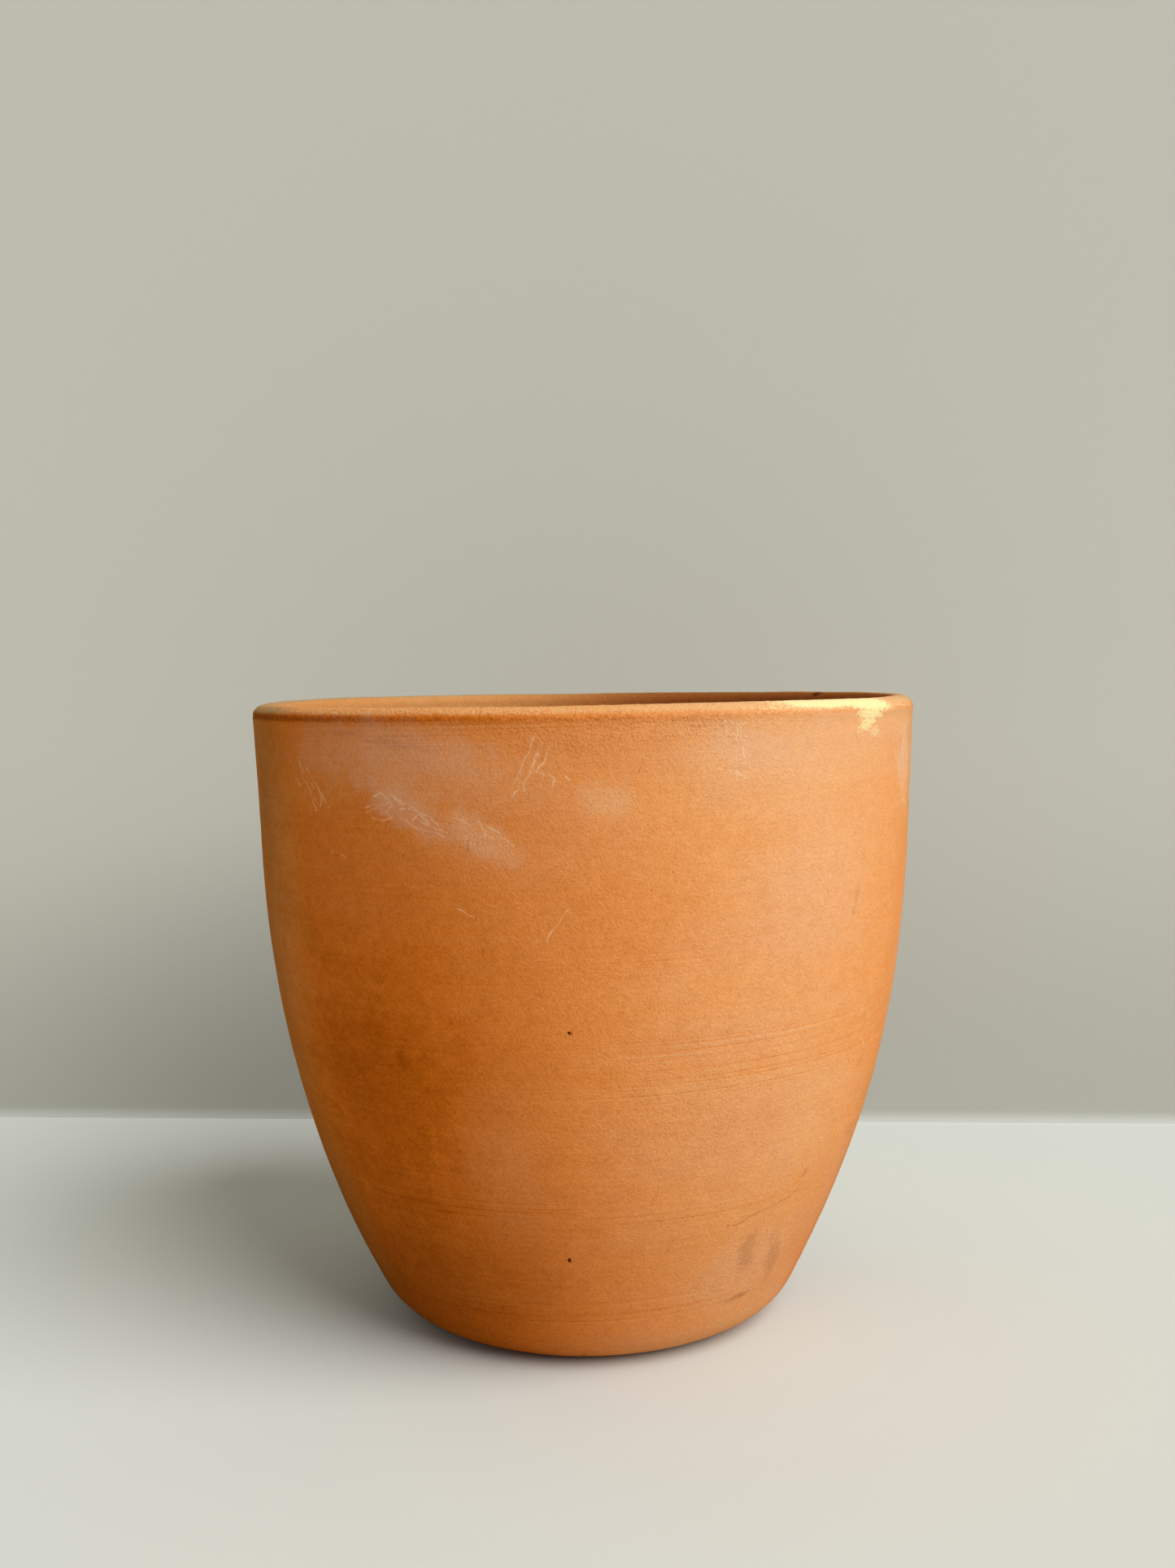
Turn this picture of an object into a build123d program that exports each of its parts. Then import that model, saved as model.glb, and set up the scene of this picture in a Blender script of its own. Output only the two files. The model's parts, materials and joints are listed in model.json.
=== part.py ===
from build123d import *
import os
from math import cos, radians, sin

# A terracotta pot: one piece of red clay, thrown on a wheel, trimmed and fired unglazed.
# Its wall swells from a small base to a wide mouth in one unbroken curve, with no collar.
# Millimetres, +Z up, origin at the middle of the underside on the plane the pot stands on.

# Overall size
rim_diameter = 300.0  # across the outside of the lip
pot_height = 280.0
base_diameter = 135.0  # where the flat underside meets the rounded heel

# Outside of the wall, from the underside up
heel_radius = 32.0
heel_lean = 26.8  # degrees the wall leans out from upright just above the heel
lower_pull = 80.0  # how far up the wall that lean is felt: the handle of its curve
upper_pull = 68.0  # how far down the wall the straight part is felt
straight_length = 57.0  # straight taper below the lip
rim_lean = 2.6  # degrees that taper leans out from upright

# Thickness of the clay
rim_wall = 12.0
heel_wall = 15.0
floor_thickness = 16.0
cove_radius = 34.0  # inside corner between the floor and the wall

# Lip, wiped round with a wet leather so that it stands slightly proud of the wall
lip_overhang = 0.5
lip_undercut = 2.0  # height of the slope from the wall out to the lip
lip_rounding = 5.0  # outer edge of the lip
lip_inner_rounding = 5.5
crown_least = 1.0  # flat kept between the two roundings

# Underside and drainage
foot_width = 18.0  # ring of the underside that touches the ground
foot_hollow = 2.0  # how far the underside is hollowed within that ring
foot_slope = 8.0  # run over which the clay rises from the ring into the hollow
drain_diameter = 25.0
drain_rounding = 2.0  # both edges of the drainage hole, smoothed by finger


def lean_directions(lean):
    """Unit vectors up along a wall that leans out, and square to it into the pot."""
    angle = radians(lean)
    along = Vector(sin(angle), cos(angle))
    inward = Vector(-cos(angle), sin(angle))
    return along, inward


def point_beside(face_point, inward, gap, height):
    """The point at this height whose distance from a leaning face is gap, measured inward."""
    distance = face_point.dot(inward) + gap
    return Vector((distance - height * inward.Y) / inward.X, height)


rim_radius = rim_diameter / 2
base_radius = base_diameter / 2
heel_along, heel_inward = lean_directions(heel_lean)
rim_along, rim_inward = lean_directions(rim_lean)
heel_turn = 90 - heel_lean
rim_turn = 90 - rim_lean

# Outside, in the section plane: X is the radius and Y is the height
foot_inner = Vector(base_radius - foot_width, 0)
foot_outer = Vector(base_radius, 0)
hollow_edge = Vector(foot_inner.X - foot_slope, foot_hollow)
heel_top = Vector(base_radius, heel_radius) - heel_inward * heel_radius
wall_top = Vector(rim_radius - lip_overhang, pot_height - lip_rounding - lip_undercut)
straight_foot = wall_top - rim_along * straight_length
lip_edge = Vector(rim_radius, pot_height - lip_rounding)
crown_outer = Vector(rim_radius - lip_rounding, pot_height)

# Inside, from the same points and the thickness of the clay
inner_heel_face = heel_top + heel_inward * heel_wall
inner_straight_foot = straight_foot + rim_inward * rim_wall
inner_lip_rounding = min(lip_inner_rounding, rim_wall - lip_rounding - crown_least)
inner_lip_centre = point_beside(
    inner_straight_foot, rim_inward, -inner_lip_rounding, pot_height - inner_lip_rounding
)
crown_inner = Vector(inner_lip_centre.X, pot_height)
inner_wall_top = inner_lip_centre + rim_inward * inner_lip_rounding
cove_centre = point_beside(
    inner_heel_face, heel_inward, cove_radius, floor_thickness + cove_radius
)
cove_top = cove_centre - heel_inward * cove_radius
cove_foot = Vector(cove_centre.X, floor_thickness)

with BuildPart() as pot:
    with BuildSketch(Plane.XZ) as half_section:
        with BuildLine() as outline:
            # Underside: the hollow, then the ring that touches the ground
            Polyline(Vector(0, foot_hollow), hollow_edge, foot_inner, foot_outer)
            # Outside: heel, swelling wall and straight taper
            JernArc(start=foot_outer, tangent=(1, 0), radius=heel_radius, arc_size=heel_turn)
            Bezier(
                heel_top,
                heel_top + heel_along * lower_pull,
                straight_foot - rim_along * upper_pull,
                straight_foot,
            )
            Line(straight_foot, wall_top)
            # Lip
            Line(wall_top, lip_edge)
            JernArc(start=lip_edge, tangent=(0, 1), radius=lip_rounding, arc_size=90)
            Line(crown_outer, crown_inner)
            JernArc(
                start=crown_inner, tangent=(-1, 0), radius=inner_lip_rounding, arc_size=rim_turn
            )
            # Inside: back down to the floor
            Line(inner_wall_top, inner_straight_foot)
            Bezier(
                inner_straight_foot,
                inner_straight_foot - rim_along * upper_pull,
                heel_top + heel_along * lower_pull + heel_inward * heel_wall,
                cove_top,
            )
            JernArc(
                start=cove_top, tangent=-heel_along, radius=cove_radius, arc_size=-heel_turn
            )
            Polyline(cove_foot, Vector(0, floor_thickness), Vector(0, foot_hollow))
        make_face()
    revolve(axis=Axis.Z)

    # Drainage hole through the middle of the floor
    Hole(radius=drain_diameter / 2)
    drain_wall = pot.faces().filter_by(GeomType.CYLINDER)[0]
    drain_rims = drain_wall.edges().filter_by(GeomType.LINE, reverse=True)
    fillet(drain_rims, radius=drain_rounding)

pot.part.label = "pot"
os.makedirs("parts", exist_ok=True)
export_step(pot.part, "parts/pot.step")
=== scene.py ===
import json
import math
from types import SimpleNamespace

import bmesh
import bpy
from mathutils import Euler, Matrix, Vector, noise
from mathutils.geometry import interpolate_bezier


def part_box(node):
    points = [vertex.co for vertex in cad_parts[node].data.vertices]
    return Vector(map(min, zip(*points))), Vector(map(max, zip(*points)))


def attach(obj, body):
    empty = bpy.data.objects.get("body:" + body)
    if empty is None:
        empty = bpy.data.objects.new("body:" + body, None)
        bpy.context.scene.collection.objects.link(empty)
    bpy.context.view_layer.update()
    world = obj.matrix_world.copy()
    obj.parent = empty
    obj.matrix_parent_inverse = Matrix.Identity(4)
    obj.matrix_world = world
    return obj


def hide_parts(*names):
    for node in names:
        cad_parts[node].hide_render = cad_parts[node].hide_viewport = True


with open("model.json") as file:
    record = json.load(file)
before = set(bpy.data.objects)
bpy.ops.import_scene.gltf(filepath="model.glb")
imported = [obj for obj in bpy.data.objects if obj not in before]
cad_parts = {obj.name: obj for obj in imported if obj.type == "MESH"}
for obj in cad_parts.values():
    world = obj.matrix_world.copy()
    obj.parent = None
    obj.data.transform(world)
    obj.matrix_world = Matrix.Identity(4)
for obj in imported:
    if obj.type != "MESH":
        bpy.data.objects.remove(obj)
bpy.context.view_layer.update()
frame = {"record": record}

# Lengths in the dictionaries are millimetres and angles are degrees, as a potter would give them.
# A place on the wall is (angle round to the right of the front, height above the ground).
mm = 0.001
potLow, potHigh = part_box("pot")
rimRadius = (potHigh.x - potLow.x) / 2
potHeight = potHigh.z
drainRadius = next(
    mount["dims"]["r_mm"] for mount in frame["record"]["mounts"] if mount["name"] == "drain_hole"
) * mm


# Shader wiring: arithmetic on sockets, and one method that adds any node


class Wire:
    def __init__(self, shade, socket):
        self.shade = shade
        self.socket = socket

    def math(self, operation, *others):
        return self.shade.node("ShaderNodeMath", {"operation": operation}, dict(enumerate((self, *others))))

    def __add__(self, other):
        return self.math("ADD", other)

    __radd__ = __add__

    def __mul__(self, other):
        return self.math("MULTIPLY", other)

    __rmul__ = __mul__

    def __sub__(self, other):
        return self.math("SUBTRACT", other)

    def __rsub__(self, other):
        return self.shade.node("ShaderNodeMath", {"operation": "SUBTRACT"}, {0: other, 1: self})

    def __truediv__(self, other):
        return self.math("DIVIDE", other)

    def __neg__(self):
        return self.math("MULTIPLY", -1)

    def least(self, other):
        return self.math("MINIMUM", other)

    def most(self, other):
        return self.math("MAXIMUM", other)

    def clamped(self):
        return self.shade.node("ShaderNodeClamp", {}, {"Value": self})

    def atLeast(self, least):
        # 0 becomes least, and 1 stays 1
        return self * (1 - least) + least

    def ease(self, start, end):
        # 0 before start and 1 after end, with a soft step between; start may be above end
        return self.shade.node(
            "ShaderNodeMapRange",
            {"interpolation_type": "SMOOTHSTEP", "clamp": False},
            {"Value": self, "From Min": start, "From Max": end},
        )


class Shade:
    def __init__(self, name):
        self.material = bpy.data.materials.new(name)
        self.material.use_nodes = True
        self.tree = self.material.node_tree
        self.tree.nodes.clear()

    def node(self, kind, settings=None, inputs=None, out=0):
        made = self.tree.nodes.new(kind)
        for name, value in (settings or {}).items():
            if name == "stops":
                ramp = made.color_ramp
                while len(ramp.elements) < len(value):
                    ramp.elements.new(1)
                for element, (position, colour) in zip(ramp.elements, value):
                    element.position = position
                    element.color = (*colour, 1)
            else:
                setattr(made, name, value)
        for name, value in (inputs or {}).items():
            if isinstance(value, Wire):
                self.tree.links.new(value.socket, made.inputs[name])
            else:
                made.inputs[name].default_value = value
        return Wire(self, made.outputs[out]) if made.outputs else None

    def mix(self, factor, first, second, blend="MIX"):
        colours = [(*c, 1) if isinstance(c, tuple) else c for c in (first, second)]
        return self.node(
            "ShaderNodeMix",
            {"data_type": "RGBA", "blend_type": blend, "clamp_factor": True},
            {0: factor, 6: colours[0], 7: colours[1]},
            out=2,
        )

    def wash(self, factor, colour, tint):
        # The colour multiplied by a tint, as far as the factor says
        return self.mix(factor, colour, self.mix(1.0, colour, tint, "MULTIPLY"))

    def vector(self, operation, first, second=None, out=0, **more):
        inputs = {0: first}
        if second is not None:
            inputs[1] = second
        inputs.update(more)
        return self.node("ShaderNodeVectorMath", {"operation": operation}, inputs, out)

    def cloud(self, place, scale, detail=2, roughness=0.5, distortion=0):
        return self.node(
            "ShaderNodeTexNoise",
            {"noise_dimensions": "3D"},
            {"Vector": place, "Scale": scale, "Detail": detail, "Roughness": roughness, "Distortion": distortion},
        )

    def finish(self, shader):
        self.node("ShaderNodeOutputMaterial", {}, {"Surface": shader})
        return self.material


def addObject(name, data):
    made = bpy.data.objects.new(name, data)
    bpy.context.scene.collection.objects.link(made)
    return made


def addMesh(name, mesh):
    data = bpy.data.meshes.new(name)
    mesh.to_mesh(data)
    mesh.free()
    return addObject(name, data)


# The clay: its section, from the drain hole outwards over foot, wall, lip and back down inside

potShape = {
    "baseRadius": 67.5, "heelRadius": 32, "heelLean": 26.8,
    "lowerPull": 80, "upperPull": 68, "straightLength": 57, "rimLean": 2.6,
    "rimWall": 12, "heelWall": 15, "floorThickness": 16, "coveRadius": 34,
    "lipProud": 0.5, "lipUndercut": 1.8, "lipRounding": 5.6, "lipInnerRounding": 5.2,
    "footWidth": 18, "footHollow": 2, "footSlope": 8, "drainRounding": 2,
    "stepsRound": 384, "spinParts": 8,  # one part is spun, then doubled until it closes: a power of two
    # millimetres between the points of each stretch
    "wallStep": 3.0, "lipStep": 0.62, "insideStep": 4.0, "floorStep": 5.0, "footStep": 5.0, "drainStep": 1.4,
}
tooNear = 0.01  # points closer than this are one


def leaning(lean):
    # Up a wall that leans outwards, and square to it, into the pot
    angle = math.radians(lean)
    return Vector((math.sin(angle), math.cos(angle))), Vector((-math.cos(angle), math.sin(angle)))


def beside(point, inward, gap, height):
    # The point at this height that lies gap inside the leaning line through point
    distance = point.dot(inward) + gap
    return Vector(((distance - height * inward.y) / inward.x, height))


def arc(centre, radius, start, turn, step):
    count = max(3, round(abs(math.radians(turn)) * radius / step))
    angles = [math.radians(start + turn * i / count) for i in range(count + 1)]
    return [centre + radius * Vector((math.cos(a), math.sin(a))) for a in angles]


def straight(start, end, step):
    count = max(1, round((end - start).length / step))
    return [start.lerp(end, i / count) for i in range(count + 1)]


def curve(start, startPull, endPull, end, step):
    count = round((end - start).length / step)
    knots = [point.to_3d() for point in (start, startPull, endPull, end)]
    return [Vector(point[:2]) for point in interpolate_bezier(*knots, count + 1)]


def potSection():
    s = potShape
    rim, height, drain = rimRadius / mm, potHeight / mm, drainRadius / mm
    heelAlong, heelIn = leaning(s["heelLean"])
    rimAlong, rimIn = leaning(s["rimLean"])
    footOuter = Vector((s["baseRadius"], 0))
    footInner = Vector((s["baseRadius"] - s["footWidth"], 0))
    hollowEdge = Vector((footInner.x - s["footSlope"], s["footHollow"]))
    heelCentre = Vector((s["baseRadius"], s["heelRadius"]))
    heelTop = heelCentre - heelIn * s["heelRadius"]
    wallTop = Vector((rim - s["lipProud"], height - s["lipRounding"] - s["lipUndercut"]))
    straightFoot = wallTop - rimAlong * s["straightLength"]
    heelPull, rimPull = heelTop + heelAlong * s["lowerPull"], straightFoot - rimAlong * s["upperPull"]
    lipCentre = Vector((rim - s["lipRounding"], height - s["lipRounding"]))
    innerFoot = straightFoot + rimIn * s["rimWall"]
    innerLipCentre = beside(innerFoot, rimIn, -s["lipInnerRounding"], height - s["lipInnerRounding"])
    innerLipEnd = innerLipCentre + rimIn * s["lipInnerRounding"]
    innerHeel = heelTop + heelIn * s["heelWall"]
    coveCentre = beside(innerHeel, heelIn, s["coveRadius"], s["floorThickness"] + s["coveRadius"])
    coveTop = coveCentre - heelIn * s["coveRadius"]
    rounding, floor, hollow = s["drainRounding"], s["floorThickness"], s["footHollow"]
    drainLow = Vector((drain + rounding, hollow + rounding))
    drainHigh = Vector((drain + rounding, floor - rounding))
    stretches = [
        ("drain", straight(Vector((drain, floor - rounding)), Vector((drain, hollow + rounding)), s["drainStep"])),
        ("drainLow", arc(drainLow, rounding, 180, 90, s["drainStep"] / 2)),
        ("hollow", straight(Vector((drain + rounding, hollow)), hollowEdge, s["footStep"])),
        ("slope", straight(hollowEdge, footInner, s["footStep"] / 2)),
        ("foot", straight(footInner, footOuter, s["footStep"])),
        ("heel", arc(heelCentre, s["heelRadius"], -90, 90 - s["heelLean"], s["wallStep"])),
        ("wall", curve(heelTop, heelPull, rimPull, straightFoot, s["wallStep"])),
        ("taper", straight(straightFoot, wallTop, s["wallStep"])),
        ("lip", straight(wallTop, lipCentre + Vector((s["lipRounding"], 0)), s["lipStep"])),
        ("lipOuter", arc(lipCentre, s["lipRounding"], 0, 90, s["lipStep"])),
        ("crown", straight(Vector((lipCentre.x, height)), Vector((innerLipCentre.x, height)), s["lipStep"])),
        ("lipInner", arc(innerLipCentre, s["lipInnerRounding"], 90, 90 - s["rimLean"], s["lipStep"])),
        ("inside", straight(innerLipEnd, innerFoot, s["insideStep"])),
        ("insideWall", curve(innerFoot, rimPull + rimIn * s["rimWall"], heelPull + heelIn * s["heelWall"],
                             coveTop, s["insideStep"])),
        ("cove", arc(coveCentre, s["coveRadius"], -s["heelLean"], s["heelLean"] - 90, s["insideStep"])),
        ("floor", straight(Vector((coveCentre.x, floor)), Vector((drain + rounding, floor)), s["floorStep"])),
        ("drainHigh", arc(drainHigh, rounding, 90, 90, s["drainStep"] / 2)),
    ]
    points, starts, run = [], {}, 0
    for name, stretch in stretches:
        starts[name] = run
        for point in stretch:
            if points and (point - points[-1][0]).length < tooNear:
                continue
            if points:
                run += (point - points[-1][0]).length
            points.append((point, run))
    starts["end"] = run
    return points, starts


# Shape left by the potter: uneven wall, rings drawn up by the fingers inside, creased lip, pits

potTouch = {
    # unevenness everywhere but on the ring that stands on the ground, and fine ripples outside
    "uneven": 0.45, "unevenSize": 95, "finerUneven": 0.4, "finerTimes": 2.7, "groundFade": 4, "groundRise": (2, 14),
    "ripple": 0.10, "ripplePitch": 5.5, "rippleRound": 0.8, "rippleFadeLow": 30, "rippleFadeHigh": 25,
    # rings inside, which wander and are deeper in places
    "ringPitch": 9.5, "ringDepth": 0.75, "ringFade": 26, "ringFadeDrain": (4, 22),
    "ringWander": 0.8, "ringWanderSize": 60, "ringLeast": 0.65, "ringVaries": 0.6, "ringVariesSize": 45,
    # the lip: how level, how far out of round, the crease under it and its grit
    "rimTilt": 0.85, "rimHighSide": 100, "rimWave": 0.25, "rimWaveRound": 2.2, "rimReach": 60,
    "backLift": 0.9, "backLiftSide": -130, "backLiftFrom": 0.6,
    "neckDepth": 0.8, "neckHeight": 238, "neckReach": 38, "neckSide": -90, "neckLeast": 0.25,
    "pinchDepth": 0.7, "pinchSide": 75, "pinchHeights": (215, 275),
    "bulge": 0.85, "bulgeHeight": 40, "bulgeReach": 38,
    "creaseBelow": 5.0, "creaseDepth": 0.55, "creaseWidth": 1.5, "creaseWander": 0.35, "creaseWanderSize": 14,
    "creaseLeast": 0.3, "creaseSides": (1, -0.2), "creaseBroken": 0.5, "creaseBrokenRound": 9,
    "grainLip": 0.16, "grainLipSize": 2.1, "lipFade": 3, "lipFadeInside": (4, -2),
}
# shifts that pick other stretches of the same noise
unevenShift, ringShift, creaseShift, rimShift = Vector((7, 3, 5)), Vector((2, 9, 4)), 3, 5
potPits = [
    # angle, height, radius, depth
    (-2.6, 155.0, 0.62, 1.7), (-3.9, 56.1, 0.75, 1.9), (-0.8, 155.6, 0.3, 0.3), (-4.1, 219.3, 0.42, 0.6),
    (142, 201, 0.8, 1.5), (-118, 96, 0.7, 1.4), (96, 61, 0.8, 1.5), (-165, 171, 0.6, 1.2), (171, 44, 0.7, 1.3),
]
pitShape = {
    "reach": 2.4, "cuts": 8, "ragged": 0.35, "raggedSize": 0.8, "felt": 4,
    "rimHeight": 0.12, "rimAt": 1.7, "rimWidth": 0.5,  # the raised edge, in shares of depth and radius
}
creaseAbove = potShape["lipRounding"] - potTouch["creaseBelow"]  # the crease's place, past the start of lipOuter


def eased(low, high, value):
    # 0 at low and 1 at high, softly; low may be above high
    share = min(1, max(0, (value - low) / (high - low)))
    return share * share * (3 - 2 * share)


def hump(value, centre, width):
    return math.exp(-(((value - centre) / width) ** 2))


def turnOf(place):
    return math.atan2(place.x, -place.y)


def roundNoise(turn, radius, third):
    # Noise that meets itself after a full turn
    return noise.noise(Vector((math.cos(turn) * radius, math.sin(turn) * radius, third)))


def wallPlace(angle, height, radius):
    turn = math.radians(angle)
    return Vector((math.sin(turn) * radius, -math.cos(turn) * radius, height))


def potDepth(place, along, starts):
    # How far a point of the surface stands out, in millimetres; place is in millimetres too
    t = potTouch
    turn = turnOf(place)
    low = noise.noise(place / t["unevenSize"]) * t["uneven"]
    low += noise.noise(place / t["unevenSize"] * t["finerTimes"] + unevenShift) * t["uneven"] * t["finerUneven"]
    riseStart, riseEnd = (starts["heel"] + gap for gap in t["groundRise"])
    ground = 1 - eased(starts["slope"], starts["slope"] + t["groundFade"], along) * eased(riseEnd, riseStart, along)
    outside = eased(starts["heel"], starts["heel"] + t["rippleFadeLow"], along)
    outside *= eased(starts["lip"], starts["lip"] - t["rippleFadeHigh"], along)
    inside = eased(starts["inside"], starts["inside"] + t["ringFade"], along)
    inside *= eased(*(starts["end"] - gap for gap in t["ringFadeDrain"]), along)
    ripples = roundNoise(turn, t["rippleRound"], along / t["ripplePitch"])
    wander = t["ringWander"] * noise.noise(place / t["ringWanderSize"])
    rings = math.sin((along / t["ringPitch"] + turn / math.tau + wander) * math.tau)
    rings = rings * abs(rings) * 0.5 + rings * 0.5
    strength = t["ringLeast"] + t["ringVaries"] * noise.noise(place / t["ringVariesSize"] + ringShift)
    out = low * ground + ripples * t["ripple"] * outside + rings * strength * t["ringDepth"] * 0.5 * inside
    broken = 1 - t["creaseBroken"] / 2 + t["creaseBroken"] * roundNoise(turn, t["creaseBrokenRound"], creaseShift)
    broken *= t["creaseLeast"] + (1 - t["creaseLeast"]) * eased(*t["creaseSides"], math.sin(turn))
    creaseAt = starts["lipOuter"] + creaseAbove
    creaseAt += t["creaseWander"] * noise.noise(place / t["creaseWanderSize"])
    out -= hump(along, creaseAt, t["creaseWidth"]) * t["creaseDepth"] * broken
    lip = eased(starts["lip"], starts["lip"] + t["lipFade"], along)
    lip *= eased(*(starts["inside"] + gap for gap in t["lipFadeInside"]), along)
    out += lip * (noise.noise(place / t["grainLipSize"]) * t["grainLip"] - t["grainLip"])
    return out


def rimDrop(place):
    # The lip isn't quite level: millimetres below the full height
    t = potTouch
    turn = turnOf(place)
    wave = roundNoise(turn, t["rimWaveRound"], rimShift)
    tilt = 1 - math.cos(turn - math.radians(t["rimHighSide"]))
    lift = eased(t["backLiftFrom"], 1, math.cos(turn - math.radians(t["backLiftSide"]))) * t["backLift"]
    return max(0, t["rimTilt"] * tilt + t["rimWave"] * max(0, wave) - lift)


def handPull(place):
    # Out of round: drawn in below the lip and swollen low down on one side, the mouth pinched on the other
    t = potTouch
    turn = turnOf(place)
    necked = 0.5 + 0.5 * math.cos(turn - math.radians(t["neckSide"]))
    pinched = 0.5 + 0.5 * math.cos(turn - math.radians(t["pinchSide"]))
    neck = t["neckDepth"] * hump(place.z, t["neckHeight"], t["neckReach"])
    neck *= t["neckLeast"] + (1 - t["neckLeast"]) * necked
    pinch = t["pinchDepth"] * eased(*t["pinchHeights"], place.z) * pinched
    bulge = t["bulge"] * hump(place.z, t["bulgeHeight"], t["bulgeReach"]) * necked * necked
    return neck + pinch - bulge


def makePot():
    points, starts = potSection()
    mesh = bmesh.new()
    alongLayer = mesh.verts.layers.float.new("along")
    ring = []
    for point, run in points:
        vert = mesh.verts.new((point.x * mm, 0, point.y * mm))
        vert[alongLayer] = run
        ring.append(vert)
    edges = [mesh.edges.new(pair) for pair in zip(ring, ring[1:] + ring[:1])]
    share, steps = math.tau / potShape["spinParts"], potShape["stepsRound"] // potShape["spinParts"]
    bmesh.ops.spin(mesh, geom=ring + edges, cent=(0, 0, 0), axis=(0, 0, 1), angle=share, steps=steps)
    while share < math.tau * 0.999:
        # Each turn doubles what the spin has made, which is quicker than one long spin
        copied = bmesh.ops.duplicate(mesh, geom=mesh.verts[:] + mesh.edges[:] + mesh.faces[:])["geom"]
        copiedVerts = [item for item in copied if isinstance(item, bmesh.types.BMVert)]
        bmesh.ops.rotate(mesh, verts=copiedVerts, cent=(0, 0, 0), matrix=Matrix.Rotation(share, 3, "Z"))
        share *= 2
    bmesh.ops.remove_doubles(mesh, verts=mesh.verts, dist=tooNear * mm)
    bmesh.ops.recalc_face_normals(mesh, faces=mesh.faces)
    refinePits(mesh, alongLayer, starts)
    mesh.normal_update()
    moves = []
    for vert in mesh.verts:
        place = vert.co / mm
        move = vert.normal * potDepth(place, vert[alongLayer], starts)
        move.z -= rimDrop(place) * eased(potHeight / mm - potTouch["rimReach"], potHeight / mm, place.z)
        move -= Vector((place.x, place.y, 0)).normalized() * handPull(place)
        moves.append(move + pitMove(place, vert, alongLayer, starts))
    for vert, move in zip(mesh.verts, moves):
        vert.co += move * mm
        vert.co.z = max(vert.co.z, 0)
    for face in mesh.faces:
        face.smooth = True
    made = addMesh("clay_pot", mesh)
    print("pot", len(made.data.vertices), "points", {name: round(run, 1) for name, run in starts.items()})
    return made, starts


def isOutside(vert, alongLayer, starts):
    return starts["heel"] < vert[alongLayer] < starts["crown"]


def refinePits(mesh, alongLayer, starts):
    # Only the clay round each pit is divided, finely enough to hold its shape
    reach = pitShape["reach"]
    for angle, height, _, _ in potPits:
        near = []
        for vert in mesh.verts:
            if abs(vert.co.z / mm - height) < reach and isOutside(vert, alongLayer, starts):
                wallRadius = math.hypot(vert.co.x, vert.co.y) / mm
                if (vert.co / mm - wallPlace(angle, height, wallRadius)).length < reach:
                    near.append(vert)
        edges = {edge for vert in near for edge in vert.link_edges}
        bmesh.ops.subdivide_edges(mesh, edges=list(edges), cuts=pitShape["cuts"], use_grid_fill=True)


def pitMove(place, vert, alongLayer, starts):
    p = pitShape
    move = Vector()
    if not isOutside(vert, alongLayer, starts):
        return move
    for angle, height, radius, depth in potPits:
        if abs(place.z - height) > p["felt"] * radius:
            continue
        gap = (place - wallPlace(angle, height, math.hypot(place.x, place.y))).length
        gap *= 1 + p["ragged"] * noise.noise(place / p["raggedSize"])
        if gap < p["felt"] * radius:
            move -= vert.normal * depth * hump(gap, 0, radius)
            move += vert.normal * p["rimHeight"] * depth * hump(gap, p["rimAt"] * radius, p["rimWidth"] * radius)
    return move


pot, potStarts = makePot()
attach(pot, "root")
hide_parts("pot")

# What the fire, the hands and the garden left on the clay, together with painted light and shade

clayTones = [
    # paleness of the clay, from underfired ochre brown to chalky pink, as a base colour
    (0.0, (0.40, 0.080, 0.003)), (0.107, (0.50, 0.110, 0.004)), (0.232, (0.60, 0.145, 0.012)),
    (0.357, (0.63, 0.180, 0.028)), (0.5, (0.68, 0.220, 0.048)), (0.643, (0.71, 0.260, 0.072)),
    (0.786, (0.72, 0.300, 0.100)), (1.0, (0.73, 0.360, 0.155)),
]
clayField = {
    # paleness of the palest side, back, top, foot, inside, crown of the lip and underside; the palest side faces the
    # lamp, so its paleness is partly painted light
    "deepest": 0.20, "palest": 0.64, "lampSide": 40, "paleFrom": 0.2, "backLift": 0.26, "backFrom": (-0.1, -0.8),
    # the foot's drop in paleness is painted shade
    "topLift": 0.08, "topHeights": (150, 270), "footShadeDrop": 0.13, "footHeights": (110, 20),
    # the inside darkens on the side nearest the lamp, where its wall is turned away: painted shade
    "insideTone": 0.68, "insideShadeTurn": -0.12, "crownWearAndLight": 0.16, "underTone": 0.3,
    # how much each noise changes the paleness
    "cloud": 0.24, "smallCloud": 0.12, "streak": 0.10, "broadStreak": 0.09,
    "grainTone": 0.24, "dustTone": 0.16, "lumpTone": 0.12, "ragTone": 0.08,
    # fine trimming lines, and how much shows outside their bands
    "line": 0.17, "palerLines": (0.56, 0.74), "darkerLines": (0.44, 0.28), "lineElsewhere": 0.2,
    # painted shade in a band under the lip, which fades where the clay faces the light
    "lipUnderShade": 0.30, "lipBandLeast": 0.25, "leftFrom": (0.95, 0.2),
    # rosy clouds, and the grain as shares of more and less light
    "rosyCloud": 0.4, "rosyCloudFrom": (0.52, 0.75), "rosySmall": 0.35, "rosySmallFrom": (0.50, 0.72),
    "grainLight": (0.78, 1.22), "gritShare": 0.3, "dustShare": 0.25, "lumpShare": 0.25, "ragShare": 0.35,
    # painted shade low on the wall, and more of it on the left, where the clay is turned from the lamp
    "footShadeBase": 0.06, "footShadeLeft": 0.27, "sootHeights": (115, 30),
    # the wobble of the strokes, and the gaps in them
    "wobbleSize": 5.5, "wobble": 2.6, "strokeGaps": (0.28, 0.62), "strokeGapGrit": 0.5,
}
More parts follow.
